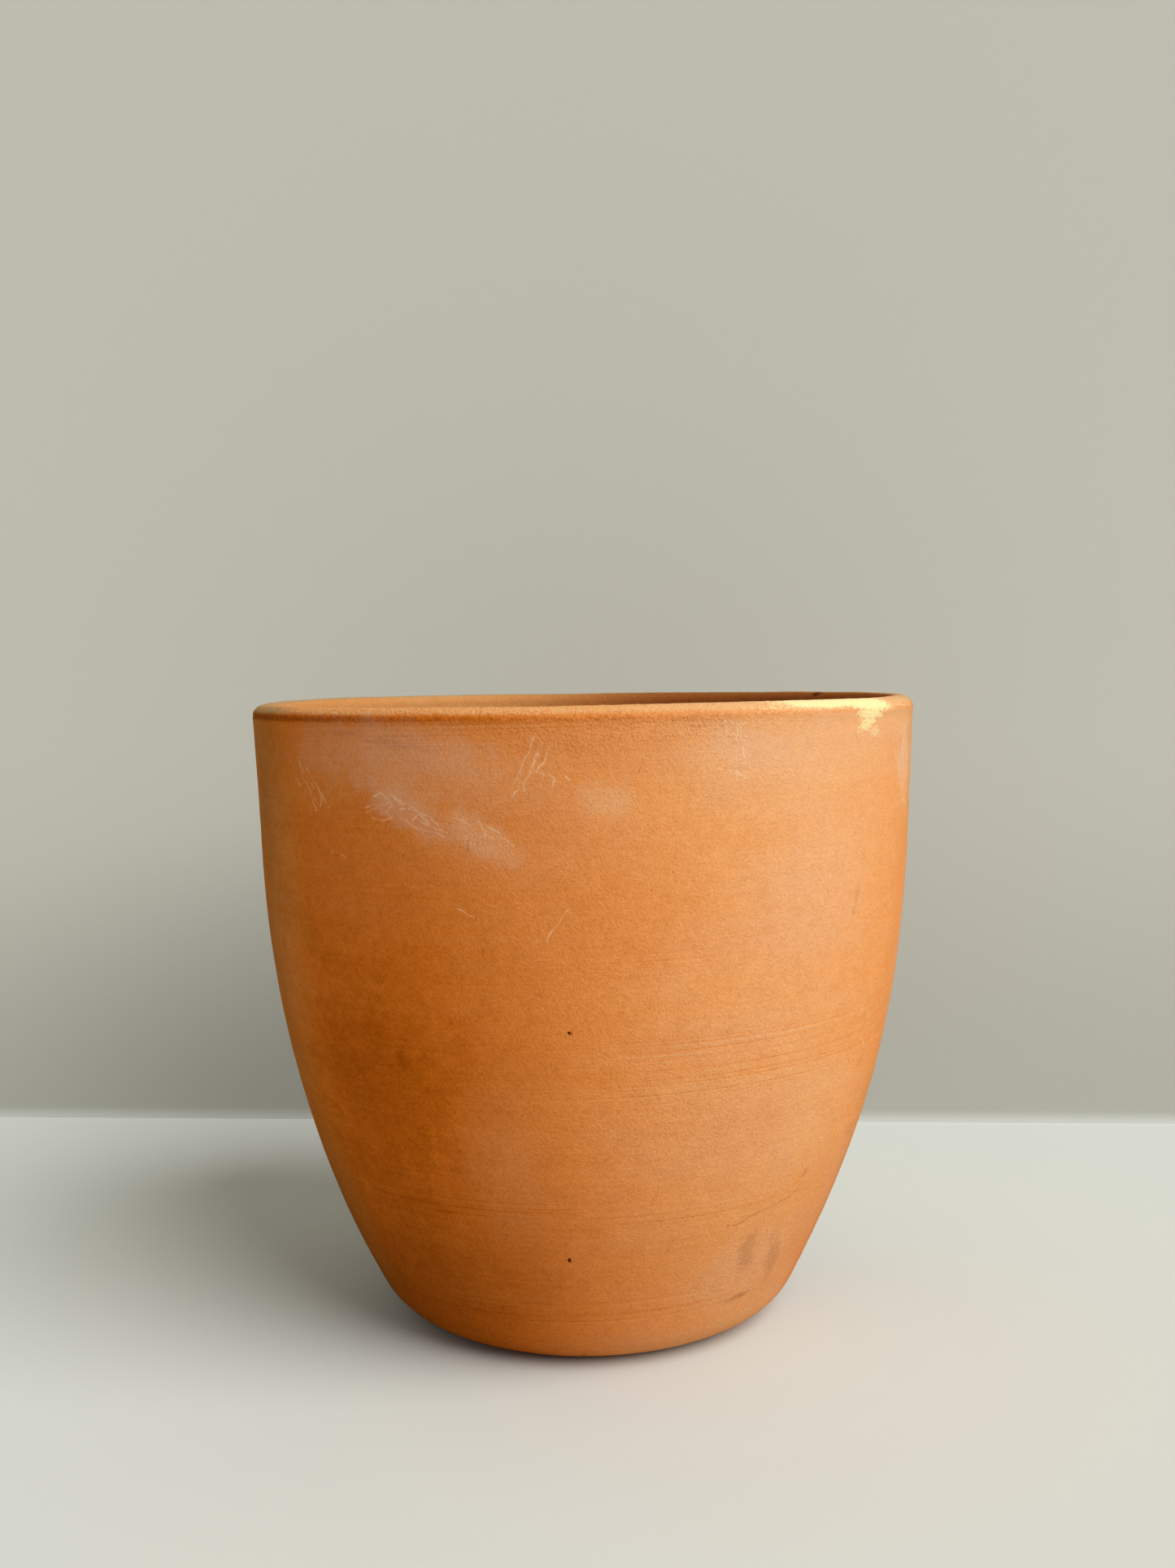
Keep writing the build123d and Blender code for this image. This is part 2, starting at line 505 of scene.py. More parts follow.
clayBorders = {
    # from where a part begins to show to where it is full: a stretch of the section, millimetres past its start
    "outsideLow": (("heel", -3), ("heel", 3)), "outsideHigh": (("lipInner", 0), ("crown", 0)),
    "crownOuter": (("lipOuter", 2), ("lipOuter", 4.4)), "crownInner": (("lipInner", 4), ("lipInner", 0.5)),
    "inside": (("crown", 1), ("lipInner", 3)), "under": (("heel", 3), ("heel", -2)),
    "lipBandLow": (("lipOuter", -0.8), ("lipOuter", 0.8)), "lipBandHigh": (("lipOuter", 4.2), ("lipOuter", 2)),
}
clayNoises = {
    # size in millimetres, how many times flatter than wide, detail, roughness, distortion
    "cloud": (120, 1, 3, 0.55, 0.4), "smallCloud": (34, 1.6, 3, 0.6, 0.3), "rag": (9, 1, 4, 0.65, 0),
    "smallRag": (3.2, 1, 2, 0.6, 0), "grain": (1.15, 1, 2, 0.7, 0), "dust": (0.45, 1, 1, 0.6, 0),
    "stringy": (4, 3, 3, 0.7, 0),
}
clayStreaks = {
    # length and height in millimetres, detail, roughness, distortion
    "streaks": (120, 2.6, 3, 0.6, 0.05), "fineLines": (170, 0.85, 2, 0.6, 0.03),
    "broadStreaks": (200, 10.4, 2, 0.5, 0),
}
streakTilt = 0.02  # rise of the streaks per length round the front
askewTurn = (0.62, 0.47, 0.35)  # radians; keeps the squares of the fine noises from lining up like cloth
clayDark = {
    # sand: size, sharpness, and which grains are dark
    "sandSize": 4.2, "sandEdge": (0.11, 0.05), "sandPicked": (0.88, 0.93), "sand": 0.4,
    # painted shade in the crease under the lip, in millimetres, and its fading to the right, where light falls, in
    # radians
    "crease": 0.22, "creaseRag": 3, "creaseGrit": 2, "creaseEdge": (2.0, 0.3), "creaseRight": (0.1, 0.9),
    "creaseRightLess": 0.7,
    # pits, darkened with painted shade: raggedness in millimetres, edge in shares of the radius
    "pit": 0.85, "pitGrit": 0.5, "pitEdge": (1.25, 0.7),
    "dust": 0.18, "grit": 0.2, "sandyGrit": 0.4, "tint": (0.25, 0.13, 0.08),
}
clayTints = {
    # colours that the clay's own is multiplied by; the one for the inside on the right is painted shade
    "rosy": (0.95, 0.97, 1.2), "inside": (0.71, 0.82, 0.86), "paintedInsideShade": (0.55, 0.36, 0.25),
}
clayCoats = {
    # colours that lie over it; the near-black ones for the pits and the foot are painted shade, the pale yellow one on
    # the lip is painted sunlight, and the crown's is partly painted light
    "pit": (0.06, 0.012, 0.006), "paintedFootShade": (0.0, 0.0, 0.0), "crown": (0.64, 0.41, 0.18),
    "bloom": (0.86, 0.88, 0.82), "scratch": (0.92, 0.72, 0.50), "paintedSun": (0.82, 0.68, 0.33),
}
clayCoatSet = {
    "crown": 0.7, "crownGrain": (0.85, 1.15), "rubBloom": 0.12, "scratchLeast": 0.1, "scratchPale": 0.75,
    "bloomRag": 0.5, "limeGrain": 1.2, "limeEdge": (0.12, 0.95), "limeFrom": (0, 0.2),
}
dampSet = {
    # painted shade inside, on the right under the lip, as places in millimetres with their drift
    "sides": (-60, 55), "sideRag": 20, "heights": (245, 268), "heightRag": 16, "heightCloud": 30,
    "full": 0.88, "least": 0.06,
}
clayRelief = {
    # millimetres of height for the bumps
    "grain": 0.34, "dust": 0.16, "smallRag": 0.17, "streaks": 0.05, "lines": 0.06, "smallCloud": 0.2,
    "rough": 0.2, "sandy": 1.4, "sand": 0.2,
}
clayGloss = {"roughness": 0.86, "grain": 0.12, "dark": 0.1, "specular": 0.02}
lineBands = [
    # where the trimming tool left its fine lines; every patch is angle, height, half width (degrees) and half
    # height, tilt, strength, raggedness
    (28, 138, 50, 17, 1.5, 1.2, 0.15), (-5, 73, 60, 13, 0, 0.7, 0.15), (-6, 268, 45, 6, 0, 0.8, 0.1),
    (6, 180, 34, 7, 1, 0.7, 0.1), (10, 30, 60, 12, 0, 0.5, 0.1),
]
sandyPatches = [
    # coarser grain
    (6, 270, 26, 8, 0, 1.0, 0.4), (-30, 271, 22, 6, 0, 0.5, 0.5), (18, 120, 26, 24, 0, 0.35, 0.5),
]
sunPatches = [
    # a painted patch of sunlight on the lip, pale yellow with a stringy edge
    (43, 280, 15, 4.0, 0, 1.5, 0.35), (50, 278.4, 10, 3.8, -6, 1.3, 0.5), (51.5, 273.4, 4.6, 2.6, 0, 0.85, 0.8),
    (50.5, 270.0, 3.4, 3.6, 20, 0.7, 0.9), (38, 277.2, 13, 1.6, 0, 0.45, 0.8), (53, 266, 2.2, 3.0, 0, 0.4, 0.9),
]
farSide = {
    # the browner far side, partly the clay's own colour and partly painted shade at the sides: where it starts and is
    # full, in two steps on the right, and how far its edge drifts
    "left": (-47, -72), "right": (56, 86), "rightPart": 0.42, "rightBack": (95, 150),
    "drift": 26, "smallDrift": 16, "ragDrift": 10, "least": 0.65, "smallFrom": (0.2, 0.62),
    "tint": (0.64, 0.80, 0.95),
}
# browner patches on the left side, partly the clay's own colour and partly painted shade
olivePatches = [(-58, 60, 8, 60, 0, 0.3, 0.5), (-66, 216, 6, 34, 0, 0.3, 0.8), (-62, 140, 5, 22, 8, 0.2, 0.8)]
clayPatches = [
    # here the strength is a change of paleness
    (-28, 258, 24, 18, -8, 0.22, 0.5), (-25, 239, 15, 12, -38, 0.12, 0.6), (-15, 230, 8, 7, -30, 0.17, 0.6),
    (-46, 250, 10, 14, 0, 0.06, 0.5), (3.2, 244, 5, 9, 0, 0.13, 0.6), (24, 262, 10, 9, -10, 0.08, 0.9),
    (71, 250, 9, 26, 6, 0.14, 0.9), (64, 271, 12, 9, 0, 0.16, 0.8),
    (36, 256, 26, 20, 0, 0.06, 0.4), (38, 205, 17, 30, 10, 0.07, 0.5), (-38, 125, 22, 55, 0, -0.11, 0.45),
    (-61, 45, 9, 50, 0, 0.12, 0.4), (52, 14, 16, 9, 0, 0.10, 0.5), (15, 8, 75, 9, 0, 0.08, 0.4),
    (-20, 28, 24, 18, 0, 0.05, 0.5), (-16, 95, 9, 38, 14, 0.08, 0.5), (38, 40, 18, 26, 0, 0.10, 0.5),
    (148, 232, 18, 26, 12, 0.14, 0.7), (-138, 118, 22, 44, -10, -0.12, 0.6), (118, 96, 22, 34, 8, 0.10, 0.7),
    (-112, 236, 16, 18, -14, 0.16, 0.8), (156, 58, 14, 20, 0, -0.08, 0.7), (-148, 250, 16, 10, 4, 0.12, 0.9),
    (104, 196, 14, 30, 0, -0.08, 0.6),
    (8, 205, 12, 34, 0, -0.05, 0.5), (-60, 190, 9, 80, 0, 0.10, 0.4), (47, 110, 14, 26, 0, 0.05, 0.5),
]
rosyPatches = [
    (-27, 255, 27, 21, -8, 1.0, 0.5), (-24, 238, 17, 12, -38, 0.8, 0.5), (-16, 90, 11, 80, 12, 0.9, 0.5),
    (-28, 40, 12, 24, 0, 0.7, 0.6),
    (25, 110, 18, 26, 0, 0.4, 0.5), (38, 200, 18, 34, 10, 0.3, 0.5), (40, 38, 22, 24, 0, 0.6, 0.5),
    (3.2, 244, 6, 9, 0, 0.4, 0.6), (26, 262, 13, 11, -10, 0.4, 0.8), (30, 190, 30, 14, 4, 0.35, 0.8),
    (2, 262, 20, 12, 0, 0.4, 0.7), (22, 150, 16, 12, 0, 0.4, 0.7), (146, 226, 22, 32, 12, 0.8, 0.7),
    (-110, 232, 18, 22, -14, 0.8, 0.7),
    (112, 88, 24, 40, 8, 0.7, 0.7), (-146, 60, 20, 34, 0, 0.6, 0.7), (-36, 205, 14, 18, 0, 0.6, 0.7),
]
bloomPatches = [
    # a thin white haze of salts over the clay
    (-28, 264, 15, 11, -8, 0.055, 0.8), (-29, 241, 10, 8, -28, 0.07, 0.9), (-15, 230, 8, 7, -32, 0.055, 0.9),
    (3.2, 244, 4, 9, 0, 0.018, 0.8), (67.5, 252, 4, 16, 4, 0.08, 0.9), (58, 24, 8, 14, 0, 0.04, 0.6),
    (64, 60, 8, 34, 0, 0.03, 0.8), (77, 168, 8, 60, 0, 0.06, 0.9), (-44, 262, 8, 12, 0, 0.03, 0.8),
    (30, 258, 16, 12, -6, 0.02, 0.8), (141, 228, 14, 18, 12, 0.045, 0.9), (-109, 240, 14, 12, -20, 0.05, 0.9),
]
darkMarks = [
    # finger smudges and stains, and small dents whose darkening is painted shade
    (-31.4, 140, 1.2, 6, 8, 0.24, 0.6), (36.3, 51, 3.0, 11, 14, 0.24, 0.8), (46, 44, 2.6, 15, 24, 0.20, 0.8),
    (38.5, 27.5, 5.0, 2.0, 3, 0.34, 0.6), (49, 199, 0.7, 8, -14, 0.15, 0.6), (28.2, 207, 1.0, 7, -38, 0.09, 0.8),
    (47, 82, 0.9, 3.4, -32, 0.16, 0.7), (-7, 169.7, 0.8, 1.6, 0, 0.14, 0.6), (-23, 95, 3.2, 8, 0, 0.07, 0.8),
    (58, 126, 1.8, 2, 0, 0.12, 0.6), (64, 93, 5.5, 3.5, 0, 0.10, 0.8), (-41, 186, 1.1, 4, 0, 0.14, 0.8),
    (-50.5, 200, 1.0, 3, 0, 0.16, 0.8), (-54, 192, 0.6, 6, 12, 0.12, 0.8), (33, 134, 0.9, 1.0, 0, 0.14, 0.6),
    (-20, 26, 5.5, 7, 0, 0.07, 0.9), (-9, 50, 1.0, 7, 0, 0.07, 0.8), (-13.5, 163, 0.4, 0.8, 0, 0.18, 0.3),
    (-1.7, 5.3, 0.9, 1.0, 0, 0.45, 0.5), (60.5, 192, 0.5, 1.0, 0, 0.20, 0.4),
    (3.5, 152, 0.35, 11, 2, 0.09, 0.6), (3.9, 133, 0.3, 9, 2, 0.06, 0.7), (-38, 268.5, 4, 1.6, -3, 0.16, 0.9),
    (-29, 265, 8, 1.8, -5, 0.14, 0.95), (-22, 262.5, 3, 1.2, 0, 0.12, 0.9), (17, 271, 3, 0.8, 0, 0.14, 0.9),
    (136, 150, 2.4, 9, 20, 0.16, 0.9), (-126, 64, 3.2, 10, -16, 0.16, 0.9), (166, 214, 1.2, 5, 0, 0.16, 0.8),
    (-104, 158, 1.4, 8, 10, 0.14, 0.8), (121, 33, 5, 3, 0, 0.18, 0.8), (-158, 132, 2.6, 2.2, 0, 0.12, 0.9),
]
# chips in the lip, drawn only as dark marks: painted shade in them
lipChipShade = [
    (122, 279, 1.8, 1.4, 0, 0.9, 0.8), (104, 279.5, 0.9, 0.8, 0, 0.5, 0.8), (9, 279.6, 0.7, 0.6, 0, 0.7, 0.6),
]
# strokes, as runs of (angle, height)
rubStrokes = [
    [(-50.8, 256.5), (-49.6, 250), (-48.4, 246.5)], [(-49.8, 253.8), (-48.2, 249), (-46.6, 246.4)],
    [(-48.6, 254.2), (-47, 250), (-45.6, 246.2)], [(-48.2, 246), (-47.2, 240.5), (-46.2, 237.4)],
    [(-47, 244), (-46, 240)], [(-45.4, 246), (-44.9, 242), (-45.2, 239)], [(-52, 250), (-50.4, 246.5)],
    [(-44.8, 244.6), (-43.9, 241), (-43.2, 239.2)],
    [(-35.2, 240.2), (-33.2, 241.6), (-31.4, 241), (-29.2, 244.2), (-27.6, 241.6), (-25.8, 240.6)],
    [(-34.8, 238.6), (-32.8, 240.4), (-31, 238.6), (-29.8, 241.8)], [(-33.4, 244.4), (-31.8, 245.6), (-30, 243.2)],
    [(-33.6, 236.4), (-31.6, 235), (-30, 236.6), (-31.2, 239.4)], [(-30.2, 246), (-28.4, 243.6), (-27.2, 240.2)],
    [(-28, 240), (-25.6, 239.6), (-23.4, 237.2), (-21.8, 234)], [(-26.4, 235.8), (-24.8, 238.4), (-23.4, 234.6)],
    [(-28.2, 236.4), (-25.6, 233.4), (-22.8, 231.8), (-20.4, 229)], [(-24.6, 235.6), (-22.6, 233), (-20.4, 231.4)],
    [(-19, 237.4), (-16.8, 235), (-15.4, 235.8), (-14.4, 231.2)], [(-16.4, 233.6), (-15.2, 229.4)],
    [(-14, 234), (-12, 231), (-10.2, 226.6)],
    [(-6.9, 269), (-7.8, 262), (-9.2, 255), (-9.7, 251.4), (-8.8, 250.6), (-8.5, 247.8)],
    [(-5.3, 269), (-6.2, 262), (-7.3, 256), (-8.6, 250.8)], [(-6.2, 265), (-7, 258), (-8, 253.5)],
    [(-4.8, 264), (-5.6, 258.6), (-6.9, 255.2), (-5.8, 254), (-6.2, 249.8)], [(-9.2, 249.6), (-10.2, 246)],
    [(-5.2, 253.6), (-4, 252), (-4.4, 249)], [(-2.6, 253), (-1.6, 250)], [(61.8, 257), (62.6, 251), (63.6, 246)],
    [(63.4, 252), (64.8, 241.5)], [(65.2, 248), (67.4, 240)], [(152, 246), (150.4, 240), (149.6, 232)],
    [(154, 244), (152, 234), (152.6, 230)], [(-116, 180), (-111, 187)], [(-133, 262), (-130.4, 256), (-131, 250)],
    [(-135, 259), (-132.6, 252.6)], [(112, 142), (119, 138), (124, 139)],
]
scratchStrokes = [
    [(-5.7, 191.2), (-4.2, 197), (-2.4, 203.4)], [(-19.4, 203), (-17.4, 200.2), (-15.6, 199)],
    [(20.8, 272.4), (22, 271.8)], [(23.3, 271.5), (24.6, 272)], [(23.2, 270), (22.9, 266.4)],
    [(23.7, 271.6), (23.6, 266), (24.2, 262), (24.4, 256)], [(22.9, 262), (23.1, 255), (23.2, 250)],
    [(21.4, 270), (21.2, 266)], [(23.4, 265.6), (24.4, 264.6)], [(20, 255), (24.8, 251.5)],
    [(60.5, 276), (66, 276.4), (72, 276.2)], [(64.4, 270), (64, 262)], [(67.2, 268), (67, 256)],
    [(66, 266), (66.4, 256), (67.6, 250)], [(69, 263), (70.4, 240)], [(71, 256), (72, 238)],
    [(62.6, 264), (63.4, 255)], [(-43, 221.8), (-39.5, 219.6)], [(68, 236), (71.4, 233)], [(58.6, 147), (58.8, 141)],
    [(57.8, 136), (59.2, 132)],
]
scrapeStrokes = [
    [(28.7, 66.9), (30.6, 66.3), (32.6, 67.2), (33.8, 68.9), (37.6, 69.8), (42, 71.6), (47, 74.6)],
    [(-21.1, 41.7), (-19.1, 39)], [(-42.1, 260.6), (-40.9, 256.8)], [(-17.0, 229), (-17.1, 224)],
    [(-28.0, 223), (-28.1, 219)], [(-15.4, 188), (-15.2, 182)],
]
potMarks = {
    # width is half the stroke's, and grit roughens its edge
    "rub": {"width": 0.37, "strength": 0.42, "grit": 0.6, "strokes": rubStrokes},
    "scratch": {"width": 0.28, "strength": 0.34, "grit": 0.4, "strokes": scratchStrokes},
    "scrape": {"width": 0.36, "strength": -0.28, "grit": 0.45, "strokes": scrapeStrokes},
}
roundRadius = 140  # the wall's middling radius, at which an angle becomes a length along it
patchReach = 3  # how many half widths from its middle a patch can still be felt
patchEdge = (1.25, 0.35)  # half widths from the middle at which a patch begins and is full
strokeEdge = (1.5, 0.2)  # the same for a stroke


def metres(lengths):
    return [length * mm for length in lengths]


def wallMap(angle, height):
    return (math.radians(angle) * roundRadius * mm, height * mm, 0)


def patchMask(wall, cloud, patch):
    angle, height, halfWidth, halfHeight, tilt, strength, ragged = patch
    widthHere = math.radians(halfWidth) * roundRadius * mm
    local = wall.shade.node(
        "ShaderNodeMapping", {"vector_type": "TEXTURE"},
        {"Vector": wall, "Location": wallMap(angle, height), "Rotation": (0, 0, math.radians(tilt)),
         "Scale": (widthHere * patchReach, halfHeight * mm * patchReach, 1)},
    )
    near = wall.shade.node("ShaderNodeTexGradient", {"gradient_type": "SPHERICAL"}, {"Vector": local}, out=1)
    near = cloud.math("MULTIPLY_ADD", -2 * ragged / patchReach, near)
    return near.ease(*(1 - edge / patchReach for edge in patchEdge)) * strength


def patchesMask(wall, cloud, patches):
    covered = None
    for patch in patches:
        here = patchMask(wall, cloud, patch)
        covered = here if covered is None else covered.most(here)
    return covered


def strokeDistance(wall, start, end):
    shade = wall.shade
    start, end = Vector(wallMap(*start)), Vector(wallMap(*end))
    run = end - start
    offset = shade.vector("SUBTRACT", wall, tuple(start))
    share = shade.vector("DOT_PRODUCT", offset, tuple(run / run.length_squared), out=1).clamped()
    nearest = shade.vector("SCALE", tuple(run), Scale=share)
    return shade.vector("DISTANCE", offset, nearest, out=1)


def strokeMask(wall, grit, mark):
    distance = None
    for stroke in mark["strokes"]:
        for pair in zip(stroke, stroke[1:]):
            here = strokeDistance(wall, *pair)
            distance = here if distance is None else distance.least(here)
    width = mark["width"] * mm
    edge = grit.math("MULTIPLY_ADD", mark["grit"] * 2 * mm, distance)
    return edge.ease(*(width * part for part in strokeEdge)) * mark["strength"]


def borderMask(c, name):
    (fromStretch, fromGap), (toStretch, toGap) = clayBorders[name]
    return c.along.ease(c.starts[fromStretch] + fromGap, c.starts[toStretch] + toGap)


def clayNoise(place, name):
    size, flatter, *rest = clayNoises[name]
    if flatter != 1:
        place = place.shade.vector("MULTIPLY", place, (1, 1, flatter))
    return place.shade.cloud(place, 1 / (size * mm), *rest)


def clayStreak(place, name):
    length, height, *rest = clayStreaks[name]
    times = (1 / (length * mm), 1 / (length * mm), 1 / (height * mm))
    return place.shade.cloud(place.shade.vector("MULTIPLY", place, times), 1, *rest)


def clayPlaces(shade, starts):
    # Where on the pot: coordinates, and masks for the parts of its surface
    c = SimpleNamespace(starts=starts)
    c.place = shade.node("ShaderNodeTexCoord", out=3)
    c.x, c.y, c.z = (shade.node("ShaderNodeSeparateXYZ", {}, {0: c.place}, out=axis) for axis in range(3))
    c.turn = c.x.math("ARCTAN2", -c.y)
    c.along = shade.node("ShaderNodeAttribute", {"attribute_name": "along"}, out=2)
    c.radius = (c.x * c.x + c.y * c.y).math("SQRT")
    c.wall = shade.node("ShaderNodeCombineXYZ", {}, {0: c.turn * (roundRadius * mm), 1: c.z, 2: 0})
    c.outside = borderMask(c, "outsideLow") * borderMask(c, "outsideHigh")
    c.crown = borderMask(c, "crownOuter") * borderMask(c, "crownInner")
    c.inside = borderMask(c, "inside")
    c.under = borderMask(c, "under")
    return c


def addNoises(shade, c):
    # Noise at the sizes that clay shows
    c.cloud = clayNoise(c.place, "cloud")
    c.smallCloud = clayNoise(c.place, "smallCloud")
    c.rag = clayNoise(c.place, "rag") - 0.5
    askew = shade.node("ShaderNodeMapping", {}, {"Vector": c.place, "Rotation": askewTurn})
    c.smallRag = clayNoise(askew, "smallRag")
    c.grain = clayNoise(askew, "grain")
    c.grit = c.grain - 0.5
    c.dust = clayNoise(askew, "dust")
    tilted = shade.node("ShaderNodeCombineXYZ", {}, {0: c.x, 1: c.y, 2: c.z - c.x * streakTilt})
    c.streaks, c.fineLines, c.broadStreaks = (clayStreak(tilted, name) for name in clayStreaks)


def clayPaleness(shade, c):
    # How pale the clay is, before its lines and marks: partly its fired colour, partly painted light on the side
    # facing the lamp and painted shade at the foot and inside
    f = clayField
    side = math.radians(f["lampSide"])
    c.facing = (c.x * math.sin(side) - c.y * math.cos(side)) / c.radius.most(mm)
    # paler towards the side that faces the lamp: partly the clay's own colour, partly painted light
    c.pale = ((c.facing - f["paleFrom"]) / (1 - f["paleFrom"])).clamped()
    tone = c.pale * c.pale * f["palest"] + c.facing.ease(*f["backFrom"]) * f["backLift"] + f["deepest"]
    tone = tone + c.z.ease(*metres(f["topHeights"])) * f["topLift"]
    # darker towards the foot: painted shade
    tone = tone - c.z.ease(*metres(f["footHeights"])) * f["footShadeDrop"]
    for patch in clayPatches:
        tone = tone + patchMask(c.wall, c.rag, patch) * c.outside
    # the inside darkens on the side nearest the lamp, where its wall is turned away: painted shade
    insideTone = c.facing.ease(-1, 1) * f["insideShadeTurn"] + f["insideTone"]
    tone = shade.node("ShaderNodeMix", {"data_type": "FLOAT"}, {0: c.inside, 2: tone, 3: insideTone})
    tone = tone + (c.cloud - 0.5) * f["cloud"] + (c.smallCloud - 0.5) * f["smallCloud"]
    return tone + (c.streaks - 0.5) * f["streak"] + (c.broadStreaks - 0.5) * f["broadStreak"]


def addStrokes(shade, c):
    # Rubs and scratches, drawn with an unsteady hand
    f = clayField
    wobble = shade.node(
        "ShaderNodeTexNoise", {}, {"Vector": c.place, "Scale": 1 / (f["wobbleSize"] * mm), "Detail": 2}, out=1
    )
    wobble = shade.vector("SUBTRACT", wobble, (0.5, 0.5, 0.5))
    wobble = shade.vector("SCALE", wobble, Scale=f["wobble"] * mm)
    drawn = shade.vector("ADD", c.wall, wobble)
    c.drawn = shade.vector("MULTIPLY", drawn, (1, 1, 0))
    broken = (c.smallRag + c.grit * f["strokeGapGrit"]).ease(*f["strokeGaps"])
    c.rubs = strokeMask(c.drawn, c.grit, potMarks["rub"]) * broken * c.outside
    c.scratches = strokeMask(c.drawn, c.grit, potMarks["scratch"]) * broken * c.outside


def markPaleness(c, tone):
    # Strokes, grain, trimming lines and the band under the lip
    f = clayField
    # the crown of the lip is paler: partly wear, partly painted light on its upward face
    tone = tone + c.rubs + c.scratches + c.crown * f["crownWearAndLight"] + c.under * f["underTone"]
    tone = tone + c.grit * f["grainTone"] + (c.dust - 0.5) * f["dustTone"]
    tone = tone + (c.smallRag - 0.5) * f["lumpTone"] + c.rag * f["ragTone"]
    bands = patchesMask(c.wall, c.rag, lineBands)
    c.lines = c.fineLines.ease(*f["palerLines"]) - c.fineLines.ease(*f["darkerLines"])
    c.lines = c.lines * bands.atLeast(f["lineElsewhere"])
    tone = tone + c.lines * f["line"] * c.outside
    c.fromLeft = c.facing.ease(*f["leftFrom"])
    # painted shade under the lip's overhang, weaker where the clay faces the lamp
    lipUnderShade = borderMask(c, "lipBandLow") * borderMask(c, "lipBandHigh")
    return tone - lipUnderShade * c.fromLeft.atLeast(f["lipBandLeast"]) * f["lipUnderShade"]


def firedColour(shade, c, tone):
    f = clayField
    colour = shade.node("ShaderNodeValToRGB", {"stops": clayTones}, {"Fac": tone})
    rosy = c.cloud.ease(*f["rosyCloudFrom"]) * f["rosyCloud"] + c.smallCloud.ease(*f["rosySmallFrom"]) * f["rosySmall"]
    rosy = rosy.most(patchesMask(c.wall, c.rag, rosyPatches) * c.outside)
    colour = shade.wash(rosy, colour, clayTints["rosy"])
    # the grain itself, as a little more and a little less light
    share = c.grit * f["gritShare"] + (c.dust - 0.5) * f["dustShare"] + (c.smallRag - 0.5) * f["lumpShare"]
    share = share + c.rag * f["ragShare"] + 0.5
    darker, lighter = (shade.mix(1.0, colour, (part, part, part), "MULTIPLY") for part in f["grainLight"])
    return shade.mix(share, darker, lighter)


def darkened(shade, c, colour):
    # Marks that darken (dents and chips with painted shade), sand, and painted shade in the crease, in the pits and
    # low on the wall
    f, d = clayField, clayDark
    scraped = -strokeMask(c.drawn, c.grit, potMarks["scrape"])
    c.dark = scraped.most(patchesMask(c.wall, c.rag, darkMarks))
    c.dark = c.dark * c.outside + patchesMask(c.wall, c.rag, lipChipShade)
    sand = {"Vector": c.place, "Scale": 1 / (d["sandSize"] * mm), "Randomness": 1}
    speck = shade.node("ShaderNodeTexVoronoi", {"feature": "F1"}, sand)
    speckColour = shade.node("ShaderNodeTexVoronoi", {"feature": "F1"}, sand, out=1)
    speckPick = shade.node("ShaderNodeSeparateColor", {}, {0: speckColour})
    c.sand = speck.ease(*d["sandEdge"]) * speckPick.ease(*d["sandPicked"])
    # the crease is darkened: painted shade, fading to the right towards the lamp
    fromCrease = c.along - (c.starts["lipOuter"] + creaseAbove) + (c.smallRag - 0.5) * d["creaseRag"]
    c.crease = (fromCrease + c.grit * d["creaseGrit"]).math("ABSOLUTE").ease(*d["creaseEdge"])
    c.crease = c.crease * (1 - c.turn.ease(*d["creaseRight"]) * d["creaseRightLess"])
    c.sandy = patchesMask(c.wall, c.rag, sandyPatches) * c.outside
    pits = None
    for angle, height, size, depth in potPits:
        away = shade.vector("DISTANCE", c.wall, wallMap(angle, height), out=1)
        edge = c.grit.math("MULTIPLY_ADD", d["pitGrit"] * mm, away)
        pit = edge.ease(*(size * part * mm for part in d["pitEdge"])) * min(1, depth)
        pits = pit if pits is None else pits.most(pit)
    down = c.dark + c.sand * d["sand"] + c.crease * d["crease"] + (0.5 - c.dust) * d["dust"]
    down = down - c.grit * (c.sandy * d["sandyGrit"] + d["grit"])
    colour = shade.mix(1.0, colour, shade.mix(down, (1.0, 1.0, 1.0), d["tint"]), "MULTIPLY")
    # the pits are darkened almost to black: painted shade in the hollows
    colour = shade.mix(pits * c.outside * d["pit"], colour, clayCoats["pit"])
    # painted shade low on the wall, heavier on the side turned from the lamp
    paintedFootShade = c.z.ease(*metres(f["sootHeights"])) * (c.fromLeft * f["footShadeLeft"] + f["footShadeBase"]) * c.outside
    return shade.mix(paintedFootShade, colour, clayCoats["paintedFootShade"])


def mouthColour(shade, c, colour):
    # The worn crown of the lip, partly painted light on its upward face, the paler inside, and painted shade inside on
    # the right under the lip
    d, s = dampSet, clayCoatSet
    # the worn crown of the lip, paler in part because of painted light on its upward face
    crown = c.crown * (c.grain + c.dust).ease(*s["crownGrain"]) * s["crown"]
    colour = shade.mix(crown, colour, clayCoats["crown"])
    colour = shade.wash(c.inside, colour, clayTints["inside"])
    low = c.z + c.rag * (d["heightRag"] * mm) + (c.smallCloud - 0.5) * (d["heightCloud"] * mm)
    # painted shade inside on the side nearest the lamp, under the lip
    paintedInsideShade = c.inside * (c.x + c.rag * (d["sideRag"] * mm)).ease(*metres(d["sides"]))
    paintedInsideShade = paintedInsideShade * (low.ease(*metres(d["heights"])) * d["full"] + d["least"])
    return shade.wash(paintedInsideShade, colour, clayTints["paintedInsideShade"])


